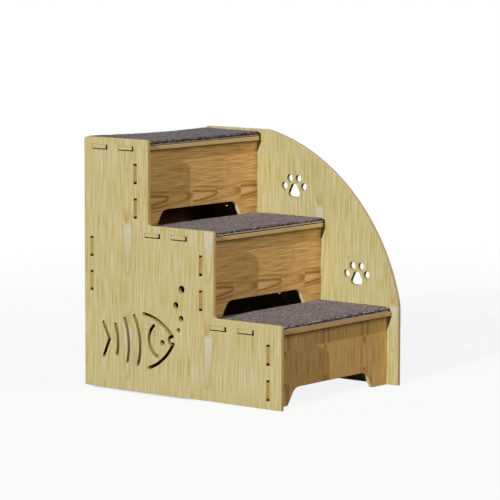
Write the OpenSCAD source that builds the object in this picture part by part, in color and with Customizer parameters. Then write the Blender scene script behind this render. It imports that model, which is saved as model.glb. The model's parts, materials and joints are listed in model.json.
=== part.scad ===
// Three-step pet stairs of flat boards: two upright side panels, and between them treads, risers and a
// back board whose tabs pass through slots in both panels. Each tread carries a loop-pile mat.
// Millimetres. Front is -Y, the stepped panel stands at -X and the tall guard panel at +X.
// The origin is on the floor, under the middle of the stairs.

/* [Overall] */
// Depth of each step, front edge to front edge
run = 150; // [120:1:200]
// Height of the lowest step's panel edge above the floor
first_rise = 147; // [125:1:180]
// Height from one step's panel edge to the next
rise = 151.5; // [125:0.5:180]
// Width over both side panels
width = 350; // [280:1:500]
// Thickness of every board
board_t = 7; // [5:0.5:10]

/* [Stepped side panel] */
// Radius of the outer corners of the steps
step_r = 6; // [1:0.5:15]
// Radius of the inner corners of the steps
notch_r = 4; // [1:0.5:12]
// Radius of the corners that stand on the floor, on both panels
floor_r = 1.5; // [0.5:0.5:4]

/* [Guard panel] */
// Radius of the long arc that falls from the top edge to the front edge
guard_arc_r = 393; // [320:1:600]
// Radius of the short arcs that lead it into the top edge and the front edge
guard_blend_r = 90; // [20:5:150]

/* [Treads] */
// Drop from a step's panel edge to the top of its tread
lip = 13; // [11:0.5:20]
// Distance of a tread's nose behind the panel's front edge
nose_setback = 14; // [8:1:20]
// Length of a tread behind the riser that stands on it
tread_tail = 22; // [5:1:40]
// Radius of a tread's two front corners, in plan
nose_r = 9; // [2:0.5:15]

/* [Risers] */
// Distance of a riser's face behind the panel's front edge
riser_setback = 25.5; // [22:0.5:40]
// Width of a riser's cut-out where it opens at the bottom edge
cutout_w = 248; // [150:1:250]
// Height of the lowest riser's cut-out
low_cutout_h = 30; // [28:1:40]
// Height of the other two risers' cut-outs
cutout_h = 34.5; // [28:0.5:40]
// How far each end of the cut-out leans inwards over its height
cutout_lean = 21; // [5:1:30]
// Radius of the cut-out's upper corners
cutout_r = 22; // [5:1:28]
// Radius of the legs' inner corners, below the cut-out
leg_r = 5; // [1:0.5:8]

/* [Back board] */
// Distance of the back board's rear face from the panels' back edge
back_inset = 14.5; // [5:0.5:40]
// Height of the back board's lower edge above the floor; it reaches up to the top tread
back_z = 14; // [5:1:40]

/* [Tabs and slots] */
// Distance between the middles of a board's two tabs at one end
tab_pitch = 61.5; // [45:0.5:70]
// Length of a riser's or back board's tab along its height
riser_tab_l = 30; // [20:1:36]
// Length of a tread's tab along the tread's depth
tread_tab_l = 31; // [20:1:36]
// Radius of a tab's leading corners
tab_r = 3.5; // [0.5:0.5:5]
// Radius of a tread tab's leading corner at the back, where it bears on its slot's end
tab_back_r = 1; // [0.5:0.5:3.5]
// Clearance between a tab and each long side of its slot
slot_side_clear = 0.25; // [0.2:0.05:0.8]
// Clearance between a riser's or back board's tab and each end of its slot
slot_end_clear = 3.2; // [0.5:0.1:4]
// Clearance behind a tread's tab
tread_slot_behind = 0.3; // [0.3:0.1:2]
// Clearance in front of a tread's tab
tread_slot_before = 4.7; // [0.5:0.1:6]
// Clearance under a tread's tab
tread_slot_under = 1.8; // [0.2:0.1:3]

/* [Mats] */
// Thickness of a mat
mat_t = 9; // [4:0.5:10]
// Radius of a mat's worn upper edge
mat_edge_r = 3.5; // [1:0.5:4]
// Radius of a mat's two front corners, in plan
mat_nose_r = 12; // [4:0.5:18]
// Radius of a mat's two back corners, in plan
mat_back_r = 3; // [1:0.5:6]
// Gap between a mat and the panels beside it
mat_side_gap = 0.8; // [0.3:0.1:2]
// Gap between a mat and the riser behind it
mat_back_gap = 0.3; // [0.3:0.1:2]

/* [Fish cut-out] */
// Length of the fish from its mouth to its tail
fish_l = 165; // [100:1:170]
// Distance of the fish's tail from the panel's back edge
fish_back = 44; // [30:1:60]
// Height of the fish's middle line above the floor
fish_z = 95; // [60:1:110]
// Width of the cut strokes
stroke_w = 5.5; // [3:0.5:6.5]
// Diameter of the fish's eye
eye_d = 9; // [5:0.5:12]
// Diameter of the largest bubble
bubble_d = 13; // [8:0.5:14]

/* [Paw cut-outs] */
// Distance from the middle of a paw's pad to the middle of its outer toes
paw_reach = 23; // [18:0.5:26]
// Diameter of a toe across its narrow way
toe_d = 12; // [8:0.5:12]
// How far each end of a toe is drawn out past that circle
toe_stretch = 0.9; // [0.5:0.1:2]
// Diameter of the pad's upper lobe
pad_top_d = 15; // [12:0.5:18]
// Diameter of the pad's two lower lobes
pad_side_d = 13.5; // [10:0.5:15]

/* [Hidden] */

cut = 1;             // how far a cutter runs past the face that it cuts
corner_steps = 8;    // straight pieces in each rounded corner
arc_steps = 48;      // straight pieces in the guard panel's arc
stroke_steps = 16;   // straight pieces along a bent stroke of the fish
edge_steps = 4;      // straight pieces in a mat's worn edge
$fn = 48;
half_turn = 180;

top_step = 2;        // the steps are numbered 0, 1 and 2 from the floor up
depth = (top_step + 1) * run;
height = first_rise + top_step * rise;
inner_w = width - 2 * board_t;
panel_back = depth / 2;

// The fish: each stroke's two ends and its bulge to the left of the way from the first to the second,
// as shares of the fish's length, from the mouth and the middle line
fish_stroke_shares = [
    [[0.015, 0.069], [0.418, 0.279], 0.043],      // brow
    [[0.004, -0.012], [0.347, -0.302], -0.043],   // jaw
    [[0.015, 0.069], [0.004, -0.012], 0.052],     // mouth
    [[0.276, 0.163], [0.228, -0.164], 0.090],     // gill
    [[0.553, 0.247], [0.501, -0.284], -0.055],    // three ribs
    [[0.687, 0.202], [0.652, -0.265], -0.036],
    [[0.822, 0.129], [0.801, -0.196], -0.025],
    [[0.996, 0.135], [0.907, -0.038], 0],         // tail
    [[0.907, -0.038], [0.992, -0.232], 0]];
fish_eye_shares = [0.156, -0.010];
// Four bubbles: place as shares of the fish's length, and diameter as a share of the largest one's
bubble_shares = [[[-0.113, 0.586], 1], [[-0.033, 0.409], 0.85], [[-0.106, 0.272], 0.75], [[-0.070, 0.144], 0.58]];

// The paws: a toe's place as shares of the reach, and its tilt; the pad's lower lobes likewise
toe_shares = [[0.97, 0.29, -22], [0.42, 0.93, -12]];
pad_top_share = 0.187;
pad_side_shares = [0.26, -0.275];
// Each paw's height over its own step's panel edge, and its place behind that step's front edge,
// as shares of the rise and the run
paw_place_shares = [[0.627, 0.278], [0.59, 0.28]];

// Where a step's pieces lie
function step_y(i) = i * run - depth / 2;
function step_z(i) = first_rise + i * rise;
function tread_top(i) = step_z(i) - lip;
function tread_floor(i) = tread_top(i) - board_t;
function nose_y(i) = step_y(i) + nose_setback;
function riser_y(i) = step_y(i) + riser_setback;
function riser_z(i) = i == 0 ? 0 : tread_top(i - 1);
function riser_h(i) = tread_floor(i) - riser_z(i);
function tread_back(i) = i == top_step ? panel_back : riser_y(i + 1) + board_t + tread_tail;
function tread_l(i) = tread_back(i) - nose_y(i);
tread_tab_shift = (tread_slot_before - tread_slot_behind) / 2;
function mat_back(i) = i == top_step ? panel_back : riser_y(i + 1) - mat_back_gap;
back_y = panel_back - back_inset - board_t;
back_h = tread_floor(top_step) - back_z;

function cutout_height(i) = i == 0 ? low_cutout_h : cutout_h;

// Points of an arc of radius r about c, from angle a to angle b in n steps, without its last point
function arc_from(c, r, a, b, n) =
    [for (k = [0:n - 1]) let (t = a + (b - a) * k / n) c + r * [cos(t), sin(t)]];

// One corner of an outline, rounded: p lies between q before it and n after it
function rounded_corner(q, p, n, r) =
    let (u = (q - p) / norm(q - p), v = (n - p) / norm(n - p),
         half = acos(u * v) / 2,
         mid = (u + v) / norm(u + v),
         c = p + mid * r / sin(half),
         sweep = half_turn - 2 * half,
         start = atan2(-mid.y, -mid.x),
         turn = sign(u.x * v.y - u.y * v.x))
    [for (k = [0:corner_steps])
        let (t = start + turn * sweep * (0.5 - k / corner_steps)) c + r * [cos(t), sin(t)]];

// A closed outline from corners [x, y, radius]; a corner of radius 0 stays sharp
function rounded_outline(corners) =
    let (n = len(corners), at = [for (c = corners) [c.x, c.y]])
    [for (i = [0:n - 1]) each
        corners[i].z == 0 ? [at[i]] :
        rounded_corner(at[(i + n - 1) % n], at[i], at[(i + 1) % n], corners[i].z)];

// Flat work, drawn with its thickness upwards, stands on edge between these
module stand_across(x) { translate([x, 0, 0]) rotate([90, 0, 90]) children(); }
module stand_along(y, z) { translate([0, y + board_t, z]) rotate([90, 0, 0]) children(); }

// A rounded tab that reaches out along +x from the end of a board, with the radii of its two corners
module tab(l, radii) {
    polygon(rounded_outline([[-cut, -l / 2, 0], [board_t, -l / 2, radii[0]],
                             [board_t, l / 2, radii[1]], [-cut, l / 2, 0]]));
}

// Both ends of a board get two tabs, centred on a board of length l, or shifted along it
module tabs(l, tab_l, far_r = tab_r, shift = 0) {
    for (side = [-1, 1], way = [-1, 1])
        translate([side * inner_w / 2, l / 2 + shift + way * tab_pitch / 2])
            rotate(side < 0 ? half_turn : 0)
                tab(tab_l, side < 0 ? [far_r, tab_r] : [tab_r, far_r]);
}

// Slots for all tabs, as seen on a panel that lies flat: x is the stairs' Y, and y its Z
module slot(low, high) {
    translate([low.x, low.y, -cut]) cube([high.x - low.x, high.y - low.y, board_t + 2 * cut]);
}
module upright_slot(y, z, l) {
    slot([y - slot_side_clear, z - l / 2 - slot_end_clear],
         [y + board_t + slot_side_clear, z + l / 2 + slot_end_clear]);
}
module slots() {
    for (way = [-1, 1]) {
        for (i = [0:top_step]) {
            tab_y = nose_y(i) + tread_l(i) / 2 + tread_tab_shift + way * tab_pitch / 2;
            slot([tab_y - tread_tab_l / 2 - tread_slot_before, tread_floor(i) - tread_slot_under],
                 [tab_y + tread_tab_l / 2 + tread_slot_behind, tread_top(i) + slot_side_clear]);
            upright_slot(riser_y(i), riser_z(i) + riser_h(i) / 2 + way * tab_pitch / 2, riser_tab_l);
        }
        upright_slot(back_y, back_z + back_h / 2 + way * tab_pitch / 2, riser_tab_l);
    }
}

// Middle line of a stroke from p to q, straight or bulging to the left of that way: points and headings
function stroke_line(p, q, bulge) =
    let (chord = norm(q - p), along = (q - p) / chord, heading = atan2(along.y, along.x))
    bulge == 0 ? [[p, heading], [q, heading]] :
    let (half = 2 * atan(2 * bulge / chord),
         r = chord / 2 / sin(half),
         c = (p + q) / 2 + [along.y, -along.x] * r * cos(half))
    [for (k = [0:stroke_steps])
        let (t = heading + half * (1 - 2 * k / stroke_steps)) [c + r * [-sin(t), cos(t)], t]];

// Half circle about c from one side of a stroke to the other, round its end
function stroke_end(c, heading) =
    [for (k = [1:corner_steps - 1])
        let (t = heading + half_turn * (k / corner_steps - 0.5)) c + stroke_w / 2 * [cos(t), sin(t)]];

// Points beside a stroke's line, on its right
function stroke_side(line) = [for (s = line) s[0] + stroke_w / 2 * [sin(s[1]), -cos(s[1])]];

// A cut stroke with round ends
module stroke(p, q, bulge) {
    there = stroke_line(p, q, bulge);
    back = [for (k = [len(there) - 1:-1:0]) [there[k][0], there[k][1] + half_turn]];
    translate([0, 0, -cut]) linear_extrude(board_t + 2 * cut)
        polygon(concat(stroke_side(there), stroke_end(q, back[0][1] - half_turn),
                       stroke_side(back), stroke_end(p, there[0][1] + half_turn)));
}

// The fish skeleton with its eye and rising bubbles
module fish() {
    for (s = fish_stroke_shares) stroke(s[0] * fish_l, s[1] * fish_l, s[2] * fish_l);
    translate([fish_eye_shares.x * fish_l, fish_eye_shares.y * fish_l, -cut]) cylinder(d = eye_d, h = board_t + 2 * cut);
    for (b = bubble_shares)
        translate([b[0].x * fish_l, b[0].y * fish_l, -cut]) cylinder(d = b[1] * bubble_d, h = board_t + 2 * cut);
}

// One toe: a circle drawn out a little both ways
module toe() {
    for (way = [-1, 1]) translate([0, way * toe_stretch]) cylinder(d = toe_d, h = board_t + 2 * cut);
    translate([-toe_d / 2, -toe_stretch]) cube([toe_d, 2 * toe_stretch, board_t + 2 * cut]);
}

// A paw print: four toes over a three-lobed pad
module paw() {
    translate([0, 0, -cut]) {
        for (t = toe_shares, side = [-1, 1])
            translate([side * t.x * paw_reach, t.y * paw_reach]) rotate(side * t.z) toe();
        hull() {
            translate([0, pad_top_share * paw_reach]) cylinder(d = pad_top_d, h = board_t + 2 * cut);
            for (side = [-1, 1])
                translate([side * pad_side_shares.x, pad_side_shares.y] * paw_reach)
                    cylinder(d = pad_side_d, h = board_t + 2 * cut);
        }
    }
}

module left_side_panel() {
    outline = concat(
        [[panel_back, 0, floor_r], [panel_back, height, step_r]],
        [for (i = [top_step:-1:0]) each
            concat([[step_y(i), step_z(i), step_r]], i > 0 ? [[step_y(i), step_z(i - 1), notch_r]] : [])],
        [[step_y(0), 0, floor_r]]);
    color([0.80, 0.75, 0.56]) stand_across(-width / 2) difference() {
        linear_extrude(board_t) polygon(rounded_outline(outline));
        slots();
        translate([panel_back - fish_back - fish_l, fish_z]) fish();
    }
}

module right_guard_panel() {
    low = [step_y(0), step_z(0)];
    high = [step_y(top_step), height];
    chord = high - low;
    across = [chord.y, -chord.x] / norm(chord);
    c = (low + high) / 2 + across * sqrt(guard_arc_r * guard_arc_r - chord * chord / 4);
    // The two short arcs touch the long one from inside, so their middles lie on this ring
    ring = guard_arc_r - guard_blend_r;
    top_y = height - guard_blend_r;
    top_c = [c.x - sqrt(ring * ring - (top_y - c.y) * (top_y - c.y)), top_y];
    front_x = step_y(0) + guard_blend_r;
    front_c = [front_x, c.y + sqrt(ring * ring - (front_x - c.x) * (front_x - c.x))];
    start = atan2(top_c.y - c.y, top_c.x - c.x);
    end = atan2(front_c.y - c.y, front_c.x - c.x);
    curve = concat(arc_from(top_c, guard_blend_r, half_turn / 2, start, corner_steps),
                   arc_from(c, guard_arc_r, start, end, arc_steps),
                   arc_from(front_c, guard_blend_r, end, half_turn, corner_steps),
                   [[step_y(0), front_c.y]]);
    corners = rounded_outline([[step_y(0), front_c.y, 0], [step_y(0), 0, floor_r], [panel_back, 0, floor_r],
                               [panel_back, height, step_r], [top_c.x, height, 0]]);
    feet = [for (k = [1:len(corners) - 2]) corners[k]];
    color([0.80, 0.75, 0.56]) stand_across(width / 2 - board_t) difference() {
        linear_extrude(board_t) polygon(concat(feet, curve));
        slots();
        for (i = [0:top_step - 1])
            translate([step_y(i) + paw_place_shares[i].x * run, step_z(i) + paw_place_shares[i].y * rise]) paw();
    }
}

// Tread of step i, with rounded front corners and four tabs
module tread(i) {
    color([0.74, 0.60, 0.38]) translate([0, nose_y(i), tread_floor(i)]) linear_extrude(board_t) {
        polygon(rounded_outline([[-inner_w / 2, 0, nose_r], [inner_w / 2, 0, nose_r],
                                 [inner_w / 2, tread_l(i), 0], [-inner_w / 2, tread_l(i), 0]]));
        tabs(tread_l(i), tread_tab_l, tab_back_r, tread_tab_shift);
    }
}

// Riser of step i, open at the foot between two legs, with four tabs
module riser(i) {
    foot = cutout_w / 2;
    brow = foot - cutout_lean;
    crown = cutout_height(i);
    color([0.70, 0.54, 0.33]) stand_along(riser_y(i), riser_z(i)) linear_extrude(board_t) {
        polygon(rounded_outline([[-inner_w / 2, 0, 0], [-foot, 0, leg_r], [-brow, crown, cutout_r],
                                 [brow, crown, cutout_r], [foot, 0, leg_r], [inner_w / 2, 0, 0],
                                 [inner_w / 2, riser_h(i), 0], [-inner_w / 2, riser_h(i), 0]]));
        tabs(riser_h(i), riser_tab_l);
    }
}

module back_board() {
    color([0.70, 0.54, 0.33]) stand_along(back_y, back_z) linear_extrude(board_t) {
        translate([-inner_w / 2, 0]) square([inner_w, back_h]);
        tabs(back_h, riser_tab_l);
    }
}

// Mat of step i: lies on the tread from its nose to the riser behind, its upper edge worn round
module mat(i) {
    half_w = inner_w / 2 - mat_side_gap;
    l = mat_back(i) - nose_y(i);
    color([0.47, 0.42, 0.43]) translate([0, nose_y(i), tread_top(i)]) hull()
        for (k = [0:edge_steps]) {
            a = 90 * k / edge_steps;
            inset = mat_edge_r * (1 - cos(a));
            linear_extrude(mat_t - mat_edge_r * (1 - sin(a)))
                polygon(rounded_outline([[-half_w + inset, inset, mat_nose_r], [half_w - inset, inset, mat_nose_r],
                                         [half_w - inset, l - inset, mat_back_r], [-half_w + inset, l - inset, mat_back_r]]));
        }
}

module low_tread() { tread(0); }
module middle_tread() { tread(1); }
module top_tread() { tread(2); }
module low_riser() { riser(0); }
module middle_riser() { riser(1); }
module top_riser() { riser(2); }
module low_mat() { mat(0); }
module middle_mat() { mat(1); }
module top_mat() { mat(2); }

left_side_panel();
right_guard_panel();
low_tread();
middle_tread();
top_tread();
low_riser();
middle_riser();
top_riser();
back_board();
low_mat();
middle_mat();
top_mat();
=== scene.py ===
# Pet stairs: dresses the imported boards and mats, then sets the camera, the light and the floor.
# Metres, in the frame of the stairs: front is -Y, the stepped side board stands at -X, +Z is up.
import json
import math

import bpy
from mathutils import Matrix, Vector

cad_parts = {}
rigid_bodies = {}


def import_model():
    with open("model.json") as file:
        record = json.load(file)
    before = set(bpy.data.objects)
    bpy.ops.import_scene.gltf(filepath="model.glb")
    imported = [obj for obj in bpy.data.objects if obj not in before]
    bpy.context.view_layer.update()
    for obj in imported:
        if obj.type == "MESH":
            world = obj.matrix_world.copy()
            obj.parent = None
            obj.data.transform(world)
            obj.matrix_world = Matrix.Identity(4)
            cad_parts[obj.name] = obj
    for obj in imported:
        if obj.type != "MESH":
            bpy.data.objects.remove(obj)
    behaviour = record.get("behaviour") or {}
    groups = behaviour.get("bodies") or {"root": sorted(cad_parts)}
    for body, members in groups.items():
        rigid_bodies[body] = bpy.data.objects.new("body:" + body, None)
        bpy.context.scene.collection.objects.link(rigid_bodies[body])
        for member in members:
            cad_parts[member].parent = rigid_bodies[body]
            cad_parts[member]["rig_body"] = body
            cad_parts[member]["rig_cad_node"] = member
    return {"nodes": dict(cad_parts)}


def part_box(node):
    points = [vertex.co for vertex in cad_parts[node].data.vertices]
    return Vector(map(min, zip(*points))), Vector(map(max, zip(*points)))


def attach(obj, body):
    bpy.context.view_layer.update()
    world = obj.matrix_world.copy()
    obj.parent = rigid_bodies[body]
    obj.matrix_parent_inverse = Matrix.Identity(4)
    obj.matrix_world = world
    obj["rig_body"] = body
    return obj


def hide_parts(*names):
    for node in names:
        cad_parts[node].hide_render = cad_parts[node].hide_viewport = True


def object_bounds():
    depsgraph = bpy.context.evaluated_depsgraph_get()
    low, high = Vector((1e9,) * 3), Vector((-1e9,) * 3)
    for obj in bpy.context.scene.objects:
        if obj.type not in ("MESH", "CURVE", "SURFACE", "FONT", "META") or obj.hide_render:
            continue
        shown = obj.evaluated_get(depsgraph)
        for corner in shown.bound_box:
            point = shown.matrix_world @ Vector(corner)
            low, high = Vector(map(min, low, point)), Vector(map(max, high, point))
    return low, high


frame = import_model()
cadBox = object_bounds()
mm = 0.001
hair = 0.1 * mm                              # two places closer than this are the same
print("Frame loaded:", len(frame["nodes"]), "nodes")


# Colours are written as they look on a screen, 0 to 255
def paint(red, green, blue):
    def linear(level):
        share = level / 255
        return share / 12.92 if share <= 0.04045 else ((share + 0.055) / 1.055) ** 2.4
    return (linear(red), linear(green), linear(blue), 1.0)


# An output socket of a node, or the tree alone, with sums that add their Math nodes
class Wire:
    def __init__(self, tree, socket=None):
        self.tree = tree
        self.socket = socket

    # Any node: its settings come first, then the values or links of its sockets
    def node(self, kind, settings=None, sockets=None, output=0):
        made = self.tree.nodes.new(kind)
        for name, value in (settings or {}).items():
            if name == "stops":
                while len(made.color_ramp.elements) < len(value):
                    made.color_ramp.elements.new(1.0)
                for element, (position, colour) in zip(made.color_ramp.elements, value):
                    element.position = position
                    element.color = colour
            else:
                setattr(made, name, value)
        for name, value in (sockets or {}).items():
            if isinstance(value, Wire):
                self.tree.links.new(value.socket, made.inputs[name])
            else:
                made.inputs[name].default_value = value
        return Wire(self.tree, made.outputs[output]) if made.outputs else None

    def sum(self, operation, first, second=0.0):
        return self.node("ShaderNodeMath", {"operation": operation}, {0: first, 1: second})

    def __add__(self, other):
        return self.sum("ADD", self, other)

    def __radd__(self, other):
        return self.sum("ADD", other, self)

    def __sub__(self, other):
        return self.sum("SUBTRACT", self, other)

    def __rsub__(self, other):
        return self.sum("SUBTRACT", other, self)

    def __mul__(self, other):
        return self.sum("MULTIPLY", self, other)

    def __rmul__(self, other):
        return self.sum("MULTIPLY", other, self)

    def __truediv__(self, other):
        return self.sum("DIVIDE", self, other)

    def __pow__(self, other):
        return self.sum("POWER", self, other)

    def __abs__(self):
        return self.sum("ABSOLUTE", self)

    def __gt__(self, other):
        return self.sum("GREATER_THAN", self, other)

    def __lt__(self, other):
        return self.sum("LESS_THAN", self, other)


def newMaterial(name):
    material = bpy.data.materials.new(name)
    material.use_nodes = True
    material.node_tree.nodes.clear()
    return material, Wire(material.node_tree)


# The shader itself: what changes over the surface comes as a Wire, the rest as plain numbers
def finishMaterial(wire, colour, roughness, bump, bumpDepth, specular, sheen=0.0):
    sockets = {"Base Color": colour, "Roughness": roughness, "Specular IOR Level": specular}
    if sheen:
        sockets["Sheen Weight"] = sheen
        sockets["Sheen Roughness"] = 0.5
    relief = {"Strength": 1.0, "Distance": bumpDepth, "Height": bump}
    sockets["Normal"] = wire.node("ShaderNodeBump", {}, relief)
    shader = wire.node("ShaderNodeBsdfPrincipled", {}, sockets)
    wire.node("ShaderNodeOutputMaterial", {}, {"Surface": shader})


def mixed(wire, factor, first, second):
    return wire.node("ShaderNodeMix", {"data_type": "RGBA"}, {0: factor, 6: first, 7: second}, 2)


# Eases from 0 to 1 as a value goes from one level to another
def eased(wire, value, start, end):
    settings = {"interpolation_type": "SMOOTHSTEP"}
    return wire.node("ShaderNodeMapRange", settings, {"Value": value, "From Min": start, "From Max": end})


def ramp(wire, shade, places, colours):
    return wire.node("ShaderNodeValToRGB", {"stops": list(zip(places, colours))}, {"Fac": shade})


# A ramp through a look's dark, ground and light, with the outer two as far in as the margin
def toned(wire, look, margin, shade):
    colours = [paint(*look[key]) for key in ("dark", "ground", "light")]
    return ramp(wire, shade, (margin, 0.5, 1 - margin), colours)


def noise(wire, across, along, detail):
    vector = wire.node("ShaderNodeCombineXYZ", {}, {"X": across, "Y": along})
    sockets = {"Vector": vector, "Scale": 1.0, "Detail": detail}
    return wire.node("ShaderNodeTexNoise", {"noise_dimensions": "2D"}, sockets, "Fac")


def axes(wire):
    place = wire.node("ShaderNodeTexCoord", {}, {}, "Object")
    return {axis: wire.node("ShaderNodeSeparateXYZ", {}, {"Vector": place}, axis) for axis in "XYZ"}


# The printed wood grain repeats in square tiles. In each tile two flames stand on one line: a slim one
# whose tip is at 0 and a broad brown one whose tip is at broadTip. Lengths here are shares of the tile.
# Most pairs say where something starts and where it is whole
flames = {
    "sway": 0.012, "swayScale": (3.1, 2.3),       # keeps the lines from being ruled
    "slimSides": (70, 232),                       # how fast the sides narrow, left and right of the middle
    "broadSides": (65, 90),
    "broadTip": 0.53, "overlap": 0.02,
    "rings": (0.30, 0.06),                        # how far aside the rings reach
    "heart": (0.08, 0.50), "heartEdge": (0.006, 0.034), "heartEnd": (0.02, 0.05),
    "broadLine": 1.2, "broadLineShare": 0.45,
    "outerLine": (0.75, 0.25), "outerLineShare": 0.7,
    "broadBrown": (0.16, 0.01), "broadBrownEdge": (-0.004, 0.006),
    "slimBrown": (0.065, 0.015), "slimBrownEdge": (-0.002, 0.006), "slimBrownShare": 0.6,
    "ragged": (0.55, 0.9),                        # least strength of a line, and what the streaks add
    "combAcross": (0.19, 0.41), "combAcrossEase": 0.04,
    "combAlong": (0.71, 0.86), "combStartEase": 0.02, "combEndEase": 0.09,
    "combPitch": 0.030, "combSlant": 0.12, "combDash": (0.1, 0.9),
    "margin": 0.12, "relief": 0.05 * mm, "glossDepth": 0.10,
}


# Distance inside a flame's curved side, for a point so far past its tip
def insideFlame(wire, past, across, sides):
    steep = sides[0] + (sides[1] - sides[0]) * (across > 0)
    square = across * across
    slope = 1 + 4 * steep * steep * square
    return (past - steep * square) / slope ** 0.5


def band(wire, distance, width):
    return 1 - eased(wire, abs(distance), 0.15 * width, width)


def figuredPrint(name, look, grain):
    material, wire = newMaterial(name)
    place = axes(wire)
    along = (place[grain["along"]] - grain["tip"]) * (grain["way"] / grain["tile"])
    across = (place[grain["across"]] - grain["middle"]) * (grain["side"] / grain["tile"])
    tileSize = grain["tile"] / mm
    swayAcross, swayAlong = flames["swayScale"]
    sway = (noise(wire, across * swayAcross, along * swayAlong, 1.0) - 0.5) * flames["sway"]
    past = wire.sum("FRACT", along + sway)
    aside = wire.sum("FRACT", across + 0.5 + sway) - 0.5
    broadTip = flames["broadTip"]
    slim = insideFlame(wire, past, aside, flames["slimSides"])
    broad = insideFlame(wire, past - broadTip, aside, flames["broadSides"])
    outer = insideFlame(wire, past + 1 - broadTip, aside, flames["broadSides"])
    lower = past < broadTip - flames["overlap"]
    upper = 1 - lower

    # Fine streaks along the grain, and the broader bands that they lie in
    fine = noise(wire, across * (tileSize / look["streak"]), along * (tileSize / look["streakLength"]), 3.0)
    wide = noise(wire, across * (tileSize / look["band"]), along * (tileSize / look["bandLength"]), 2.0)
    near = eased(wire, abs(aside), *flames["rings"])
    rings = 0.5 + 0.5 * wire.sum("SINE", outer * (2 * math.pi * look["ringCount"]))
    streaks = (fine - 0.5) * look["streakDepth"] + (wide - 0.5) * look["bandDepth"]
    shade = 0.5 + streaks + (rings - 0.5) * near * look["ringDepth"]
    colour = toned(wire, look, flames["margin"], shade)

    # The pale hearts, the thin olive outlines and the brown tips
    endStart, endWhole = flames["heartEnd"]
    flatEnd = eased(wire, past, broadTip - endStart, broadTip - endWhole)
    heart = eased(wire, slim, *flames["heartEdge"]) * eased(wire, past, *flames["heart"]) * flatEnd
    colour = mixed(wire, heart * look["heartShare"], colour, paint(*look["heart"]))
    slimLine = band(wire, slim, look["line"]) * lower
    broadLine = band(wire, broad, flames["broadLine"] * look["line"]) * upper
    outerLine = band(wire, outer, look["line"]) * eased(wire, past, *flames["outerLine"])
    least, added = flames["ragged"]
    ragged = least + added * fine
    lineShare = ragged * look["lineShare"]
    colour = mixed(wire, lineShare * slimLine, colour, paint(*look["outline"]))
    colour = mixed(wire, lineShare * flames["outerLineShare"] * outerLine, colour, paint(*look["outline"]))
    brownStart, brownWhole = flames["broadBrown"]
    tip = eased(wire, past, broadTip + brownStart, broadTip + brownWhole)
    broadBrown = eased(wire, broad, *flames["broadBrownEdge"]) * tip * upper
    slimBrown = eased(wire, slim, *flames["slimBrownEdge"]) * eased(wire, past, *flames["slimBrown"])
    slimBrown = slimBrown * lower * flames["slimBrownShare"]
    lineBrown = broadLine * (flames["broadLineShare"] + (1 - flames["broadLineShare"]) * tip)
    brown = wire.sum("MAXIMUM", lineBrown, wire.sum("MAXIMUM", broadBrown, slimBrown))
    colour = mixed(wire, brown * ragged * look["tipShare"], colour, paint(*look["tip"]))

    # A comb of short dark dashes beside the flames
    dash = wire.sum("SINE", (aside + flames["combSlant"] * past) * (2 * math.pi / flames["combPitch"]))
    low, high = flames["combAcross"]
    ease = flames["combAcrossEase"]
    inComb = eased(wire, aside, low, low + ease) * eased(wire, aside, high, high - ease)
    low, high = flames["combAlong"]
    inComb = inComb * eased(wire, past, low, low + flames["combStartEase"])
    inComb = inComb * eased(wire, past, high, high - flames["combEndEase"])
    comb = eased(wire, dash, *flames["combDash"]) * inComb
    colour = mixed(wire, comb * look["combShare"], colour, paint(*look["outline"]))

    roughness = look["roughness"] + flames["glossDepth"] * (fine - 0.5)
    finishMaterial(wire, colour, roughness, fine, flames["relief"], look["specular"])
    return material


# Bare board edge: plies side by side, with short fibres along them and broad blotches
bare = {
    "fibreScale": 9.0, "slant": 1.3, "blotchScale": 35.0, "blotchDepth": 0.3,
    "margin": 0.15, "relief": 0.06, "roughness": 0.72, "specular": 0.05,
}


def bareEdge(name, look, thin, start):
    material, wire = newMaterial(name)
    place = axes(wire)
    through = (place[thin] - start) / boardThickness
    first, second = [place[axis] for axis in "XYZ" if axis != thin]
    length = (first + bare["slant"] * second) * (1 / (look["fibre"] * mm))
    fibres = noise(wire, through * bare["fibreScale"], length, 3.0)
    blotch = noise(wire, first * bare["blotchScale"], second * bare["blotchScale"], 2.0)
    ply = 0.5 + 0.5 * wire.sum("SINE", through * (math.pi * look["plies"]))
    shade = 0.5 + (ply - 0.5) * look["plyDepth"] + (fibres - 0.5) * look["fibreDepth"]
    shade = shade + (blotch - 0.5) * bare["blotchDepth"]
    colour = toned(wire, look, bare["margin"], shade)
    relief = look.get("relief", bare["relief"]) * mm
    finishMaterial(wire, colour, bare["roughness"], fibres, relief, bare["specular"])
    return material


sidePrint = {
    "ground": (199, 186, 131), "dark": (177, 163, 94), "light": (216, 200, 168),
    "heart": (207, 201, 182), "outline": (184, 173, 116), "tip": (184, 152, 86),
    "heartShare": 0.75, "lineShare": 0.70, "tipShare": 0.62, "combShare": 0.45, "line": 0.018,
    "streak": 2.1, "streakLength": 60, "streakDepth": 1.55, "band": 7, "bandLength": 170, "bandDepth": 0.20,
    "ringCount": 26, "ringDepth": 0.10, "roughness": 0.46, "specular": 0.1,
}
riserPrint = {
    "ground": (224, 178, 113), "dark": (178, 131, 68), "light": (247, 205, 144),
    "heart": (236, 203, 164), "outline": (160, 112, 50), "tip": (176, 125, 58),
    "heartShare": 0.45, "lineShare": 0.85, "tipShare": 0.85, "combShare": 0.50, "line": 0.026,
    "streak": 2.0, "streakLength": 55, "streakDepth": 1.35, "band": 6, "bandLength": 150, "bandDepth": 0.25,
    "ringCount": 26, "ringDepth": 0.15, "roughness": 0.44, "specular": 0.1,
}
# A darker copy of the riser print for the low riser, painted shade for the weaker light on the lowest step.
# Its hearts are also fainter
lowRiserShadedPrint = {
    **riserPrint, "ground": (216, 172, 106), "dark": (175, 130, 66), "light": (236, 193, 130),
    "heart": (212, 176, 122), "heartShare": 0.30,
}
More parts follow.
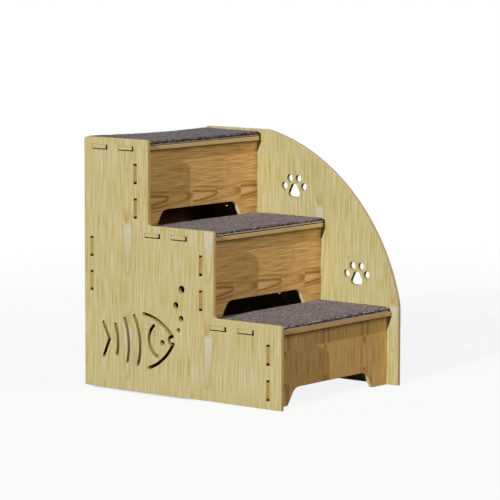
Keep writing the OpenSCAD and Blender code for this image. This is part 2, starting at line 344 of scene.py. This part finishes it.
sideEdge = {
    "ground": (210, 182, 124), "dark": (176, 142, 88), "light": (222, 200, 148),
    "plies": 5, "plyDepth": 0.3, "fibre": 7.0, "fibreDepth": 0.5,
}
guardPrint = {
    **sidePrint, "ground": (195, 185, 130), "dark": (172, 162, 92), "light": (212, 200, 170),
    "heart": (203, 200, 180),
}
guardEdge = {**sideEdge, "ground": (212, 188, 152), "dark": (188, 150, 104), "light": (222, 204, 176)}
# A darker copy of the panel edge for a panel's broken front edges: painted shade
shadedFrontArris = {**sideEdge, "ground": (184, 158, 108), "dark": (158, 130, 84), "light": (198, 174, 126)}
cutEdge = {
    **sideEdge, "ground": (230, 200, 126), "dark": (202, 168, 94), "light": (240, 216, 156), "relief": 0.01,
}
# Dark brown for the hidden side of treads, risers and the back board: painted shade of the hollow
insideShade = {**sideEdge, "ground": (112, 78, 44), "dark": (84, 56, 30), "light": (134, 98, 60)}
cutRim = {**sideEdge, "ground": (140, 112, 58), "dark": (104, 76, 34), "light": (168, 142, 84)}
# Near-black brown for slot walls, tab flanks and cut walls that the lamp only grazes: painted shade
slotShadeLook = {
    **sideEdge, "ground": (72, 48, 26), "dark": (50, 32, 18), "light": (96, 70, 42), "relief": 0.01,
}
treadEdge = {
    "ground": (226, 190, 134), "dark": (190, 146, 88), "light": (236, 210, 160),
    "plies": 5, "plyDepth": 0.4, "fibre": 7.0, "fibreDepth": 0.4,
}
# A darker copy of the tread edge for the low tread, painted shade for the weaker light on the lowest step
lowTreadShadedEdge = {**treadEdge, "ground": (212, 171, 114), "dark": (180, 133, 76), "light": (226, 193, 142)}
treadTab = {**treadEdge, "ground": (199, 186, 131), "dark": (186, 168, 108), "light": (208, 198, 154)}
riserEdge = {
    "ground": (175, 145, 82), "dark": (136, 100, 50), "light": (198, 172, 110),
    "plies": 5, "plyDepth": 0.4, "fibre": 7.0, "fibreDepth": 0.6,
}
backEdge = {**riserEdge, "ground": (192, 158, 90), "dark": (150, 112, 58), "light": (214, 184, 120)}
riserCut = {**riserEdge, "ground": (238, 218, 172), "dark": (220, 192, 138), "light": (246, 232, 196)}
riserRim = {**riserEdge, "ground": (236, 200, 150), "dark": (216, 172, 114), "light": (244, 216, 172)}

# Inner walls of each kind of board: first the walls themselves, then the broken edge round them
innerWalls = {"X": (cutEdge, cutRim), "Y": (riserCut, riserRim), "Z": (treadTab, treadEdge)}

# The nine boards: which way each is thin, how its print lies, and the finish of its edges.
# A tread also has its corner, the radius to which its rounded front corners are brought
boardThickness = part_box("low_tread")[1].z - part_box("low_tread")[0].z
arrisWidth = 0.45 * mm
treadCorner = 9 * mm                          # radius of the treads' front corners in the frame
innerFace = cadBox[1].x - boardThickness      # the panels' inner faces stand at this X and at its opposite
smoothAngle = math.radians(22)
upPanel = {"along": "Z", "across": "Y", "way": 1, "side": 1}
acrossRiser = {"along": "X", "across": "Z", "way": -1, "side": 1, "tile": 0.139, "tip": -0.088}
alongTread = {**acrossRiser, "across": "Y"}
insideWay = {"Y": 1, "Z": -1}                # the hidden side of a riser looks back, that of a tread down
boards = {
    "steppedSideBoard": {"node": "left_side_panel", "thin": "X", "print": sidePrint, "edge": sideEdge,
                         "grain": {**upPanel, "tile": 0.185, "tip": 0.020, "middle": 0.125}},
    "guardSideBoard": {"node": "right_guard_panel", "thin": "X", "print": guardPrint, "edge": guardEdge,
                       "grain": {**upPanel, "tile": 0.170, "tip": 0.229, "middle": -0.043}},
    "lowTreadBoard": {"node": "low_tread", "thin": "Z", "print": riserPrint, "edge": lowTreadShadedEdge,
                      "corner": 5.5 * mm, "grain": {**alongTread, "middle": -0.12}},
    "middleTreadBoard": {"node": "middle_tread", "thin": "Z", "print": riserPrint, "edge": treadEdge,
                         "corner": 14 * mm, "grain": {**alongTread, "middle": 0.03}},
    "topTreadBoard": {"node": "top_tread", "thin": "Z", "print": riserPrint, "edge": treadEdge,
                      "corner": 14 * mm, "grain": {**alongTread, "middle": 0.16}},
    "lowRiserBoard": {"node": "low_riser", "thin": "Y", "print": lowRiserShadedPrint, "edge": riserEdge,
                      "grain": {"along": "Z", "across": "X", "way": -1, "side": -1, "tile": 0.116,
                                "tip": 0.040, "middle": -0.017}},
    "middleRiserBoard": {"node": "middle_riser", "thin": "Y", "print": riserPrint, "edge": riserEdge,
                         "grain": {**acrossRiser, "middle": 0.189}},
    "topRiserBoard": {"node": "top_riser", "thin": "Y", "print": riserPrint, "edge": riserEdge,
                      "grain": {**acrossRiser, "middle": 0.340}},
    "backBoard": {"node": "back_board", "thin": "Y", "print": riserPrint, "edge": backEdge, "inside": -1,
                  "grain": {**acrossRiser, "middle": 0.205}},
}
slots = {"left_side_panel": "side_board", "right_guard_panel": "side_board"}


def only(piece):
    bpy.ops.object.select_all(action="DESELECT")
    piece.select_set(True)
    bpy.context.view_layer.objects.active = piece


# Starts a choice of faces, edges or points with none of them selected
def clearChoice(kind):
    bpy.ops.object.mode_set(mode="EDIT")
    bpy.ops.mesh.select_mode(type=kind)
    bpy.ops.mesh.select_all(action="DESELECT")
    bpy.ops.object.mode_set(mode="OBJECT")


# Each of the next three selects what passes the test and leaves the piece in edit mode
def selectFaces(piece, test):
    clearChoice("FACE")
    for face in piece.data.polygons:
        face.select = test(face)
    bpy.ops.object.mode_set(mode="EDIT")


def selectEdges(piece, test):
    clearChoice("EDGE")
    points = piece.data.vertices
    for edge in piece.data.edges:
        edge.select = test(points[edge.vertices[0]].co, points[edge.vertices[1]].co)
    bpy.ops.object.mode_set(mode="EDIT")


def selectPoints(piece, test):
    clearChoice("VERT")
    for point in piece.data.vertices:
        point.select = test(point)
    bpy.ops.object.mode_set(mode="EDIT")


def copyOfNode(node, name):
    only(frame["nodes"][node])
    bpy.ops.object.duplicate()
    piece = bpy.context.object
    piece.name = name
    piece.data.name = name
    piece.parent = None
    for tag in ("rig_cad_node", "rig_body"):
        del piece[tag]
    piece.data.materials.clear()
    bpy.ops.object.mode_set(mode="EDIT")
    bpy.ops.mesh.select_all(action="SELECT")
    bpy.ops.mesh.remove_doubles(threshold=0.1 * hair)
    bpy.ops.mesh.dissolve_limited(angle_limit=math.radians(0.5))
    bpy.ops.object.mode_set(mode="OBJECT")
    return piece


# A point's place on a panel, rounded so that it can be looked up
def spot(place):
    return round(place.y / (0.5 * hair)), round(place.z / (0.5 * hair))


# Walls of a cut through a panel that the lamp, which stands in this direction, only grazes. They are painted
# near-black as shade
def grazed(face):
    lampY, lampZ = -0.153, 0.366
    return lampY * face.normal.y + lampZ * face.normal.z < 0.03


# The straight walls of a slot, wide enough not to be a facet of a curve
def squareWall(face):
    straight = max(abs(face.normal.y), abs(face.normal.z)) > 0.999
    return straight and face.area > 0.9 * boardThickness * boardThickness


# Corners of a panel's slots: every wall that meets there is wide, and upright or level
def slotCorners(piece):
    square, other = set(), set()
    for face in piece.data.polygons:
        if abs(face.normal.x) < 0.5:
            chosen = square if squareWall(face) else other
            chosen.update(spot(piece.data.vertices[index].co) for index in face.vertices)
    return square - other


# Takes the sharp edge off both flat faces: an inset rim, whose outer line then drops along the thickness.
# The joints stay closed: no drop where boards end at a panel, nor round the slots on a panel's inner face
def breakArris(piece, thin):
    axis = "XYZ".index(thin)
    low = min(vertex.co[axis] for vertex in piece.data.vertices)
    high = max(vertex.co[axis] for vertex in piece.data.vertices)
    corners = slotCorners(piece) if thin == "X" else None
    for level, way in ((low, 1), (high, -1)):
        selectFaces(piece, lambda face: abs(face.normal[axis]) > 0.99
                    and abs(face.center[axis] - level) < hair)
        bpy.ops.mesh.inset(thickness=arrisWidth, use_boundary=True, use_even_offset=True)
        bpy.ops.object.mode_set(mode="OBJECT")
        flat = {index for face in piece.data.polygons if face.select for index in face.vertices}

        def onRim(point):
            meets = abs(abs(point.co.x) - innerFace) < hair
            closed = meets and (corners is None or spot(point.co) in corners)
            return point.index not in flat and abs(point.co[axis] - level) < hair and not closed

        selectPoints(piece, onRim)
        drop = [0.0, 0.0, 0.0]
        drop[axis] = way * arrisWidth
        bpy.ops.transform.translate(value=drop)
        bpy.ops.object.mode_set(mode="OBJECT")


# Places of a board's materials in its list. A panel has Front as its last, and any other board Inside
materialPlaces = {"Print": 0, "Edge": 1, "Arris": 2, "Wall": 3, "Rim": 4, "Slot": 5, "Front": 6, "Inside": 6}


# Gives the selected faces one of the board's materials
def assign(piece, kind):
    piece.active_material_index = materialPlaces[kind]
    bpy.ops.object.material_slot_assign()
    bpy.ops.object.mode_set(mode="OBJECT")


def wears(face, kind):
    return face.material_index == materialPlaces[kind]


def mark(piece, kind, test):
    selectFaces(piece, test)
    assign(piece, kind)


def bevelEdges(piece, test, radius, segments):
    selectEdges(piece, test)
    bpy.ops.mesh.bevel(offset=radius, segments=segments, affect="EDGES")
    bpy.ops.object.mode_set(mode="OBJECT")


# A tread's two rounded front corners, resized about the points that they round off
def resizeCorners(piece, front, radius):
    reach = treadCorner + hair
    ratio = radius / treadCorner
    for side in (-1, 1):
        selectPoints(piece, lambda point: side * point.co.x > innerFace - reach
                     and point.co.y < front + reach)
        bpy.ops.transform.resize(value=(ratio, ratio, 1), center_override=(side * innerFace, front, 0))
        bpy.ops.object.mode_set(mode="OBJECT")


def addModifier(piece, kind, settings):
    modifier = piece.modifiers.new(kind.lower(), kind)
    for name, value in settings.items():
        setattr(modifier, name, value)
    bpy.ops.object.modifier_apply(modifier=modifier.name)


# A panel's outline keeps the edge material, and the walls of its slots, fish and paws get their own.
# The outline is found from the lowest wall, and the rest is what isn't linked to it
def markPanelWalls(piece):
    walls = [face for face in piece.data.polygons if face.select]
    lowest = min(walls, key=lambda face: face.center.z).index
    bpy.ops.object.mode_set(mode="EDIT")
    bpy.ops.mesh.hide(unselected=True)
    bpy.ops.object.mode_set(mode="OBJECT")
    for face in piece.data.polygons:
        face.select = face.index == lowest
    bpy.ops.object.mode_set(mode="EDIT")
    bpy.ops.mesh.select_linked()
    bpy.ops.mesh.select_all(action="INVERT")
    assign(piece, "Wall")
    bpy.ops.object.mode_set(mode="EDIT")
    bpy.ops.mesh.reveal()
    bpy.ops.object.mode_set(mode="OBJECT")
    # Straight slot walls and the walls that the lamp only grazes get the painted shade
    mark(piece, "Slot", lambda face: wears(face, "Wall") and (squareWall(face) or grazed(face)))


def dressBoard(name, board):
    node, thin, edge = board["node"], board["thin"], board["edge"]
    piece = copyOfNode(node, name)
    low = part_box(node)[0]
    if "corner" in board:
        resizeCorners(piece, low.y, board["corner"])
    axis = "XYZ".index(thin)
    pale = {**edge, "ground": edge["light"], "dark": edge["ground"]}
    wall, rim = innerWalls[thin]
    last = {"Front": shadedFrontArris} if thin == "X" else {"Inside": insideShade}
    looks = {"Edge": edge, "Arris": pale, "Wall": wall, "Rim": rim, "Slot": slotShadeLook, **last}
    piece.data.materials.append(figuredPrint(name + "Print", board["print"], board["grain"]))
    for kind, look in looks.items():
        piece.data.materials.append(bareEdge(name + kind, look, thin, low[axis]))
    mark(piece, "Edge", lambda face: abs(face.normal[axis]) < 0.5)
    if thin == "X":
        markPanelWalls(piece)
    if thin == "Y":                                      # the cut-out at the foot
        tallest = 50 * mm
        mark(piece, "Wall", lambda face: wears(face, "Edge") and abs(face.center.x) < innerFace - 5 * mm
             and hair < face.center.z - low.z < tallest)
    breakArris(piece, thin)
    cutPoints = {index for face in piece.data.polygons for index in face.vertices
                 if wears(face, "Wall") or wears(face, "Slot") and not squareWall(face)}
    mark(piece, "Arris", lambda face: 0.3 < abs(face.normal[axis]) < 0.95)
    mark(piece, "Rim", lambda face: wears(face, "Arris") and len(cutPoints & set(face.vertices)) > 1)
    tabs = innerFace + 1 * mm                            # beyond this X a tread or riser is tab
    if thin == "X":                                      # a panel's broken front edges take a darker copy of its edge colour: painted shade
        mark(piece, "Front", lambda face: wears(face, "Arris") and face.normal.y < -0.5)
    else:                                                # the hidden side and the flanks of the tabs, both painted dark as shade
        way = board.get("inside", insideWay[thin])
        mark(piece, "Inside", lambda face: way * face.normal[axis] > 0.99)
        mark(piece, "Slot", lambda face: abs(face.normal.x) < 0.3 and abs(face.center.x) > tabs)
    if thin == "Z":                                      # the ends of the tabs
        mark(piece, "Wall", lambda face: abs(face.normal.x) > 0.5 and abs(face.center.x) > tabs)
    only(piece)
    bpy.ops.object.shade_smooth_by_angle(angle=smoothAngle)
    addModifier(piece, "WEIGHTED_NORMAL", {"mode": "FACE_AREA", "weight": 100, "keep_sharp": True})
    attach(piece, "root")
    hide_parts(node)
    slots.get(node, "tread_board" if thin == "Z" else "riser_board")
    return piece


for name, board in boards.items():
    dressed = dressBoard(name, board)
    print("Board dressed:", name, len(dressed.data.polygons), "faces")

# Mats: a slab at the size of its place, cornered, worn round, then covered with loops. Up from the tread,
# the front shows a painted shadow line, the backing and a crease below the loops, with painted shade in
# its gaps. The top mat's back edge has come up a little at both ends, more on the left
mats = {
    "lowMat": {"node": "low_mat", "tread": "low_tread", "tone": 0.95, "corner": 18 * mm,
               "shadowLine": 0.0, "backing": 2.9 * mm, "crease": 5.8 * mm},
    "middleMat": {"node": "middle_mat", "tread": "middle_tread", "tone": 0.91, "corner": 14 * mm,
                  "shadowLine": 2.0 * mm, "backing": 4.4 * mm, "crease": 6.8 * mm},
    # The top mat's lower tone offsets the stronger light on its top: painted shade
    "topMat": {"node": "top_mat", "tread": "top_tread", "tone": 0.76, "corner": 15 * mm,
               "shadowLine": 0.8 * mm, "backing": 3.4 * mm, "crease": 6.2 * mm,
               "curl": {"height": 4.2 * mm, "depth": 0.070, "left": (0.050, -0.140), "leftPower": 1.7,
                        "right": (0.080, 0.150), "rightShare": 0.33}},
}
pile = {
    "backCorner": 3 * mm, "edgeRadius": 3.0 * mm,
    "creaseDepth": 0.9 * mm, "voxel": 1.3 * mm,
    "loop": 3.2 * mm, "loopHeight": 1.5 * mm, "wave": 34 * mm, "waveHeight": 0.6 * mm,
    "smoothAngle": math.radians(60),
}
yarn = {
    "dark": (50, 38, 38), "grey": (98, 83, 85), "mauve": (112, 91, 95), "light": (164, 145, 146),
    "speck": (202, 187, 188), "backing": (236, 212, 196), "backingDark": (186, 158, 142), "gap": (26, 17, 15),
    "places": (0.10, 0.40, 0.62, 0.92),              # of the first four shades on the ramp
    "level": 0.12, "loopShare": 0.75, "fleckShare": 1.0, "wearShare": 0.40,
    "fleckScale": 620.0, "wearScale": 26.0, "stitchScale": 120.0,
    "raggedness": 1.2 * mm, "gapRaggedness": 2.5 * mm, "gapStitch": (0.42, 0.56),
    "shadowLineEase": 0.3 * mm, "backingEase": 0.4 * mm, "gapStart": 0.2 * mm, "gapWhole": -0.8 * mm,
    "wornRise": 1.5 * mm, "wornTop": (0.6 * mm, 1.6 * mm),      # worn up to so far below the top
    "backingFleck": (0.35, 0.65), "speckLoop": (0.35, 0.75),
    "roughness": 0.92, "fleckDepth": 0.5 * mm, "specular": 0.1, "sheen": 0.15,
}


def loopPile(name, mat):
    main = ("dark", "grey", "mauve", "light")
    others = ("speck", "backing", "backingDark", "gap")
    yarns = {key: paint(*[level * mat["tone"] for level in yarn[key]]) for key in main + others}
    material, wire = newMaterial(name)
    place = wire.node("ShaderNodeTexCoord", {}, {}, "Object")

    def speckle(scale, detail):
        return wire.node("ShaderNodeTexNoise", {}, {"Vector": place, "Scale": scale, "Detail": detail}, "Fac")

    settings = {"feature": "F1", "distance": "EUCLIDEAN"}
    loops = wire.node("ShaderNodeTexVoronoi", settings, {"Vector": place, "Scale": 1 / pile["loop"]}, "Color")
    loop = wire.node("ShaderNodeSeparateColor", {}, {"Color": loops}, "Red")
    flecks = speckle(yarn["fleckScale"], 2.0)
    wear = speckle(yarn["wearScale"], 3.0)
    stitch = speckle(yarn["stitchScale"], 2.0)
    shade = yarn["loopShare"] * loop + yarn["fleckShare"] * (flecks - 0.5) + yarn["wearShare"] * (wear - 0.5)
    colour = ramp(wire, shade + yarn["level"], yarn["places"], [yarns[key] for key in main])

    # From the tread up: painted shadow line, pale backing, painted shade between loops, worn light loops
    low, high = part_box(mat["node"])
    thick = high.z - low.z
    height = wire.node("ShaderNodeSeparateXYZ", {}, {"Vector": place}, "Z") - low.z
    ragged = height + (stitch - 0.5) * yarn["raggedness"]
    uneven = height + (stitch - 0.5) * yarn["gapRaggedness"]
    shadowLine = eased(wire, height, mat["shadowLine"] + yarn["shadowLineEase"], mat["shadowLine"] - yarn["shadowLineEase"])
    below = eased(wire, ragged, mat["backing"] + yarn["backingEase"], mat["backing"] - yarn["backingEase"])
    gap = eased(wire, uneven, mat["crease"] + yarn["gapStart"], mat["crease"] + yarn["gapWhole"])
    gap = gap * eased(wire, stitch, *yarn["gapStitch"])
    worn = eased(wire, height, mat["crease"], mat["crease"] + yarn["wornRise"])
    least, most = yarn["wornTop"]
    worn = worn * eased(wire, height, thick - least, thick - most)
    backing = mixed(wire, eased(wire, flecks, *yarn["backingFleck"]), yarns["backingDark"], yarns["backing"])
    colour = mixed(wire, worn * eased(wire, loop, *yarn["speckLoop"]), colour, yarns["speck"])
    colour = mixed(wire, gap, colour, yarns["gap"])
    colour = mixed(wire, below, colour, backing)
    colour = mixed(wire, shadowLine, colour, yarns["gap"])
    finishMaterial(wire, colour, yarn["roughness"], flecks, yarn["fleckDepth"], yarn["specular"],
                   yarn["sheen"])
    return material


# How far a value has gone from one level to another, from 0 to 1
def share(value, start, end):
    return min(1.0, max(0.0, (value - start) / (end - start)))


# A group of points, each with the weight that belongs to its place
def groupPoints(piece, name, weight):
    group = piece.vertex_groups.new(name=name)
    for point in piece.data.vertices:
        group.add([point.index], weight(point.co), "REPLACE")


def newTexture(name, kind, scale):
    texture = bpy.data.textures.new(name, kind)
    texture.noise_scale = scale
    return texture


def makeMat(name, mat):
    low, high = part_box(mat["node"])
    size = high - low
    middle = (low + high) / 2
    bpy.ops.object.select_all(action="DESELECT")
    bpy.ops.mesh.primitive_cube_add(size=1, location=middle, scale=size)
    bpy.ops.object.transform_apply(location=True, rotation=True, scale=True)
    piece = bpy.context.object
    piece.name = name
    piece.data.name = name
    bevelEdges(piece, lambda a, b: abs(a.z - b.z) > size.z / 2 and a.y < middle.y, mat["corner"], 8)
    bevelEdges(piece, lambda a, b: abs(a.z - b.z) > size.z / 2 and a.y > middle.y, pile["backCorner"], 4)
    bevelEdges(piece, lambda a, b: min(a.z, b.z) > high.z - hair, pile["edgeRadius"], 5)
    addModifier(piece, "REMESH", {"mode": "VOXEL", "voxel_size": pile["voxel"]})
    groupPoints(piece, "pile", lambda place: share(place.z - low.z, mat["crease"], mat["crease"] + 1.0 * mm))
    groupPoints(piece, "crease", lambda place: float(mat["backing"] < place.z - low.z < mat["crease"]))
    loops = newTexture(name + "Loops", "VORONOI", pile["loop"])
    waves = newTexture(name + "Waves", "CLOUDS", pile["wave"])
    for settings in (
        {"texture": waves, "vertex_group": "pile", "direction": "Z", "strength": pile["waveHeight"],
         "mid_level": 0.7},
        {"texture": loops, "vertex_group": "pile", "strength": -pile["loopHeight"], "mid_level": 0.5},
        {"texture": loops, "vertex_group": "crease", "strength": -pile["creaseDepth"], "mid_level": 0.0},
    ):
        addModifier(piece, "DISPLACE", {"texture_coords": "LOCAL", **settings})
    if "curl" in mat:
        curl = mat["curl"]

        def lift(place):
            left = share(place.x, *curl["left"]) ** curl["leftPower"]
            right = share(place.x, *curl["right"]) * curl["rightShare"]
            near = share(place.y, high.y - curl["depth"], high.y)
            return max(left, right) * near * near * (3 - 2 * near)

        groupPoints(piece, "curl", lift)
        addModifier(piece, "DISPLACE", {"vertex_group": "curl", "direction": "Z",
                                        "strength": curl["height"], "mid_level": 0.0})
    piece.data.materials.clear()
    piece.data.materials.append(loopPile(name + "Pile", mat))
    only(piece)
    bpy.ops.object.shade_smooth_by_angle(angle=pile["smoothAngle"])
    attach(piece, "root")
    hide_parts(mat["node"])
    return piece


for name, mat in mats.items():
    made = makeMat(name, mat)
    print("Mat laid:", name, len(made.data.polygons), "faces")

# Camera, where the picture was taken from
stand = {
    "place": (-3.8198, -3.0578, 0.8227), "turn": 51.473, "tilt": 6.728, "roll": 0.135,
    "lens": 197.05, "sensor": 36,
}


def placeCamera():
    bpy.ops.object.camera_add()
    camera = bpy.context.object
    camera.name = "standCamera"
    turned = (Matrix.Rotation(math.radians(-stand["turn"]), 4, "Z")
              @ Matrix.Rotation(math.radians(90 - stand["tilt"]), 4, "X")
              @ Matrix.Rotation(math.radians(stand["roll"]), 4, "Z"))
    camera.matrix_world = Matrix.Translation(stand["place"]) @ turned
    camera.data.sensor_width = stand["sensor"]
    camera.data.lens = stand["lens"]
    camera.data.clip_end = 100
    bpy.context.scene.camera = camera


# A far lamp low on the left, a broad fill from high in front, a weaker one behind, and a dim even room
studio = {
    "keyPlace": (-12.2, -2.1, 5.0), "keyPower": 6900, "keyRadius": 0.12, "roomLevel": 0.012,
    "aim": (0, 0, 0.2),
    "areas": {
        "frontFill": {"place": (0.35, -3.0, 2.0), "size": (0.9, 2.0), "power": 42,
                      "tint": (1.0, 0.975, 0.86)},
        "backFill": {"place": (1.8, 3.0, 0.7), "size": (1.6, 1.6), "power": 34, "tint": (1.0, 1.0, 1.0)},
    },
}


def aimed(travel):
    return Vector(travel).to_track_quat("-Z", "Y").to_euler()


def lightStudio():
    bpy.ops.object.light_add(type="POINT", radius=studio["keyRadius"], location=studio["keyPlace"])
    key = bpy.context.object
    key.name = "keyLight"
    key.data.energy = studio["keyPower"]
    key.visible_camera = False
    key.visible_glossy = False
    for name, area in studio["areas"].items():
        place = Vector(area["place"])
        bpy.ops.object.light_add(type="AREA", location=place, rotation=aimed(Vector(studio["aim"]) - place))
        fill = bpy.context.object
        fill.name = name
        fill.data.shape = "RECTANGLE"
        fill.data.size, fill.data.size_y = area["size"]
        fill.data.energy = area["power"]
        fill.data.color = area["tint"]
        fill.visible_camera = False
        fill.visible_glossy = False


# White where the camera, a gloss or a glass looks, and dim as a light
def paintRoom():
    world = bpy.data.worlds.new("room")
    bpy.context.scene.world = world
    world.use_nodes = True
    world.node_tree.nodes.clear()
    wire = Wire(world.node_tree)
    seen = [wire.node("ShaderNodeLightPath", {}, {}, ray) for ray in
            ("Is Camera Ray", "Is Glossy Ray", "Is Transmission Ray")]
    white = wire.sum("MAXIMUM", wire.sum("MAXIMUM", seen[0], seen[1]), seen[2])
    level = studio["roomLevel"] + (1 - studio["roomLevel"]) * white
    background = wire.node("ShaderNodeBackground", {}, {"Color": (1, 1, 1, 1), "Strength": level})
    wire.node("ShaderNodeOutputWorld", {}, {"Surface": background})


# A pale floor that keeps a soft shadow near the stairs and fades to the room's white. Under and behind
# the stairs, where they hide it from the stand, it loses its glow and has a painted shadow. Places are in
# metres
ground = {
    "size": 30, "paint": (240, 239, 236), "bounce": (80, 78, 75), "glow": 0.88, "fade": (0.7, 2.5),
    "grainScale": 40.0, "grainDepth": 0.06, "level": 0.97, "paintedShadow": 0.9,
    "aside": (0.200, 0.160), "front": (-0.060, 0.0), "back": (0.370, 0.270),
    "sightSlope": 0.8, "sightStart": 0.175, "sight": (0.222, 0.196),
}


def layFloor():
    bpy.ops.mesh.primitive_plane_add(size=ground["size"], location=(0, 0, 0))
    floor = bpy.context.object
    floor.name = "floor"
    material, wire = newMaterial("paleFloor")
    place = wire.node("ShaderNodeTexCoord", {}, {}, "Object")
    away = wire.node("ShaderNodeVectorMath", {"operation": "LENGTH"}, {0: place}, "Value")
    noiseSockets = {"Vector": place, "Scale": ground["grainScale"], "Detail": 3.0}
    grain = wire.node("ShaderNodeTexNoise", {}, noiseSockets, "Fac")
    camera = wire.node("ShaderNodeLightPath", {}, {}, "Is Camera Ray")
    glossy = wire.node("ShaderNodeLightPath", {}, {}, "Is Glossy Ray")
    x = wire.node("ShaderNodeSeparateXYZ", {}, {"Vector": place}, "X")
    y = wire.node("ShaderNodeSeparateXYZ", {}, {"Vector": place}, "Y")
    paintedShadowMask = eased(wire, abs(x), *ground["aside"]) * eased(wire, y, *ground["front"])
    paintedShadowMask = paintedShadowMask * eased(wire, y, *ground["back"])
    sight = y - ground["sightSlope"] * (x + ground["sightStart"])
    paintedShadowMask = paintedShadowMask * eased(wire, sight, *ground["sight"])
    faded = eased(wire, away, *ground["fade"])
    glow = (ground["glow"] + (1 - ground["glow"]) * faded) * (1 - paintedShadowMask)
    seen = wire.sum("MAXIMUM", camera, glossy)
    mottled = ground["level"] + ground["grainDepth"] * (grain - 0.5)
    shown = seen * (1 - ground["paintedShadow"] * paintedShadowMask) * mottled
    tint = mixed(wire, shown, paint(*ground["bounce"]), paint(*ground["paint"]))
    dull = wire.node("ShaderNodeBsdfDiffuse", {}, {"Color": tint})
    bright = wire.node("ShaderNodeEmission", {}, {"Color": (1, 1, 1, 1), "Strength": 1.0})
    both = wire.node("ShaderNodeMixShader", {}, {0: seen * glow, 1: dull, 2: bright})
    wire.node("ShaderNodeOutputMaterial", {}, {"Surface": both})
    floor.data.materials.append(material)


placeCamera()
lightStudio()
paintRoom()
layFloor()
bpy.context.scene.view_settings.view_transform = "Standard"
print("Camera, light, room and floor set")
